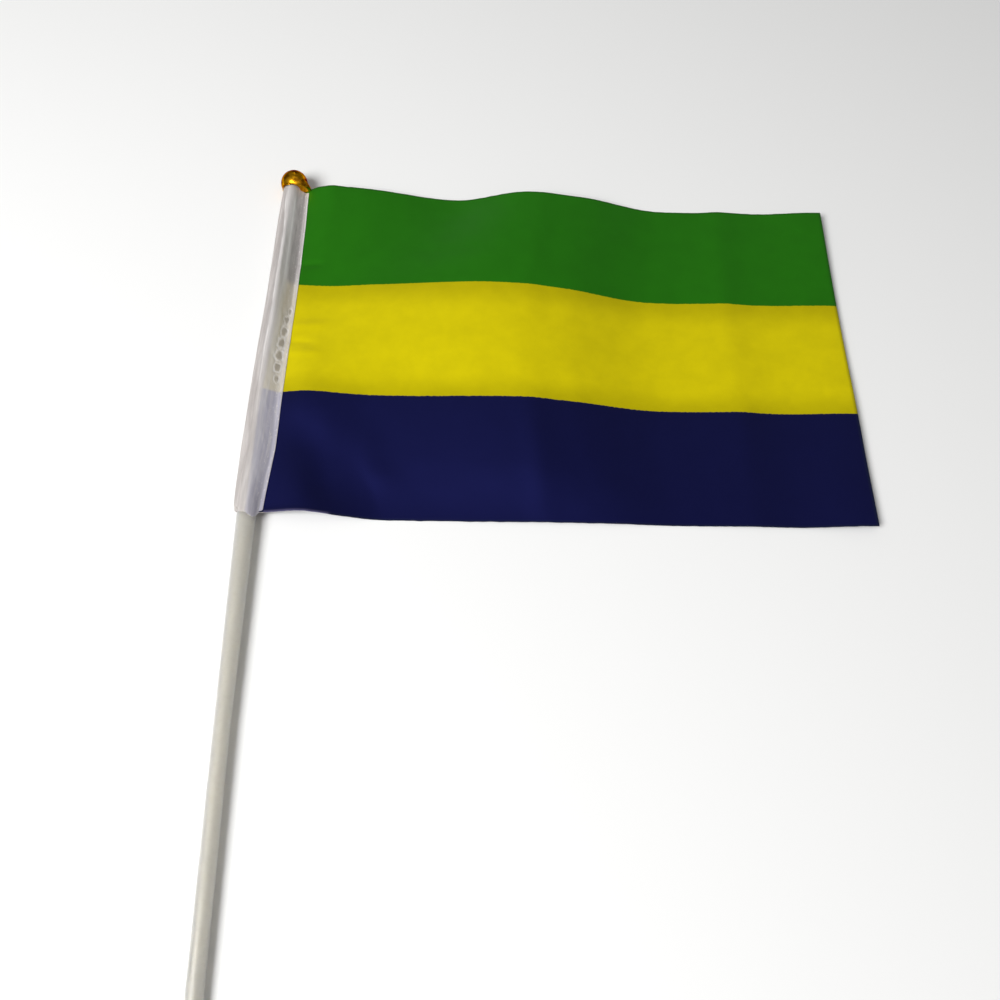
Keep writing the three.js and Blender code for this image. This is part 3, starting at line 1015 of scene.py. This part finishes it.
class FLAG_OT_cap(bpy.types.Operator):
    """Shape the gilt cap on the tube's upper end"""

    bl_idname = "stick_flag.cap"
    bl_label = "Cap"

    def execute(self, context):
        settings = context.scene.flag_cap
        radius = settings.radius / MM
        dome = []
        for degrees in DOME_DEGREES:
            turn = math.radians(degrees)
            wide = math.cos(turn)
            dome.append({"along": math.sin(turn), "wide": wide, "high": wide, "lean": 0, "up": 0})
        rings = []
        for row in (*CAP_RINGS, *dome, POLE_RING):
            x = CAP_X + row["lean"] * radius
            y = CAP_Y + row["along"] * radius
            middle = place(x, y, radius + row["up"] * radius)
            rings.append((middle, row["wide"] * settings.radius, row["high"] * settings.radius))
        cap = ring_body("cap_gilt", rings, CAP_SIDES)
        # Both open ends are closed with a point
        for end in (rings[0], rings[-1]):
            bpy.ops.mesh.select_all(action="DESELECT")
            bpy.ops.object.mode_set(mode="OBJECT")
            for v in cap.data.vertices:
                v.select = abs(v.co.y - end[0].y) < 1e-6
            bpy.ops.object.mode_set(mode="EDIT")
            bpy.ops.mesh.extrude_region_move()
            bpy.ops.mesh.merge(type="CENTER")
        bpy.ops.mesh.select_all(action="SELECT")
        bpy.ops.mesh.normals_make_consistent(inside=False)
        bpy.ops.object.mode_set(mode="OBJECT")
        apply_modifier(cap, "SUBSURF", levels=2, render_levels=2)
        choose(cap)
        bpy.ops.object.shade_smooth()
        finish_piece(cap, "finial_cap", cap_material(settings))
        return {"FINISHED"}


class FLAG_OT_stage(bpy.types.Operator):
    """Set up the pale floor, the soft light and the camera"""

    bl_idname = "stick_flag.stage"
    bl_label = "Floor, light and camera"

    def execute(self, context):
        settings = context.scene.flag_stage
        scene = context.scene
        deselect_all()
        bpy.ops.mesh.primitive_plane_add(size=FLOOR_SIZE)
        floor = context.object
        floor.name = floor.data.name = "table"
        # Matt card: even and pale, with hardly any gloss
        material, tree, shader = new_material("Matt white card")
        join(
            tree,
            shader,
            {"Base Color": settings.floor, "Roughness": 0.9, "Specular IOR Level": 0.2},
        )
        floor.data.materials.append(material)
        key_light = {
            "name": "Key light",
            "at": (*KEY_SPOT, settings.key_height / MM),
            "to": CLOTH_CENTRE,
            "size": KEY_SIZE,
            "power": settings.key_power,
        }
        for row in (key_light, *LAMPS):
            light = bpy.data.lights.new(row["name"], "AREA")
            light.shape = "DISK"
            light.size = row["size"]
            light.energy = row["power"]
            lamp = bpy.data.objects.new(row["name"], light)
            lamp.location = place(*row["at"])
            beam = place(*row["to"]) - lamp.location
            lamp.rotation_euler = beam.to_track_quat("-Z", "Y").to_euler()
            scene.collection.objects.link(lamp)
        world = bpy.data.worlds.new("Soft room")
        world.use_nodes = True
        background = world.node_tree.nodes["Background"]
        join(world.node_tree, background, {"Color": linear("#ffffff"), "Strength": ROOM_LIGHT})
        scene.world = world
        scene.view_settings.view_transform = "Standard"
        lens = bpy.data.cameras.new("Camera")
        lens.sensor_width = lens.lens = CAMERA_LENS
        lens.clip_start = 0.01
        lens.clip_end = 20.0
        camera = bpy.data.objects.new("Camera", lens)
        turn = Matrix((CAMERA_RIGHT, -CAMERA_DOWN, -CAMERA_FORWARD)).transposed()
        camera.matrix_world = Matrix.Translation(place(*CAMERA_PLACE)) @ turn.to_4x4()
        scene.collection.objects.link(camera)
        scene.camera = camera
        return {"FINISHED"}


class FLAG_PT_panel(bpy.types.Panel):
    """Lists the flag's pieces"""

    bl_label = "Stick flag"
    bl_space_type = "VIEW_3D"
    bl_region_type = "UI"
    bl_category = "Stick flag"

    def draw(self, context):
        for settings, operator in zip(GROUPS, OPERATORS):
            box = self.layout.box()
            group = getattr(context.scene, settings)
            for name in group.__annotations__:
                box.prop(group, name)
            box.operator(operator.bl_idname)


# The pieces' settings in the scene, and their operators in the same order
GROUPS = {
    "flag_cloth": FLAG_PG_cloth,
    "flag_sleeve": FLAG_PG_sleeve,
    "flag_tube": FLAG_PG_tube,
    "flag_cap": FLAG_PG_cap,
    "flag_stage": FLAG_PG_stage,
}
OPERATORS = (FLAG_OT_cloth, FLAG_OT_sleeve, FLAG_OT_tube, FLAG_OT_cap, FLAG_OT_stage)


def register():
    for name, group in GROUPS.items():
        bpy.utils.register_class(group)
        setattr(bpy.types.Scene, name, bpy.props.PointerProperty(type=group))
    for operator in OPERATORS:
        bpy.utils.register_class(operator)
    bpy.utils.register_class(FLAG_PT_panel)


def unregister():
    bpy.utils.unregister_class(FLAG_PT_panel)
    for operator in reversed(OPERATORS):
        bpy.utils.unregister_class(operator)
    for name, group in reversed(GROUPS.items()):
        delattr(bpy.types.Scene, name)
        bpy.utils.unregister_class(group)


def main():
    register()
    bpy.ops.stick_flag.cloth()
    bpy.ops.stick_flag.sleeve()
    bpy.ops.stick_flag.tube()
    bpy.ops.stick_flag.cap()
    bpy.ops.stick_flag.stage()


if __name__ == "__main__":
    main()
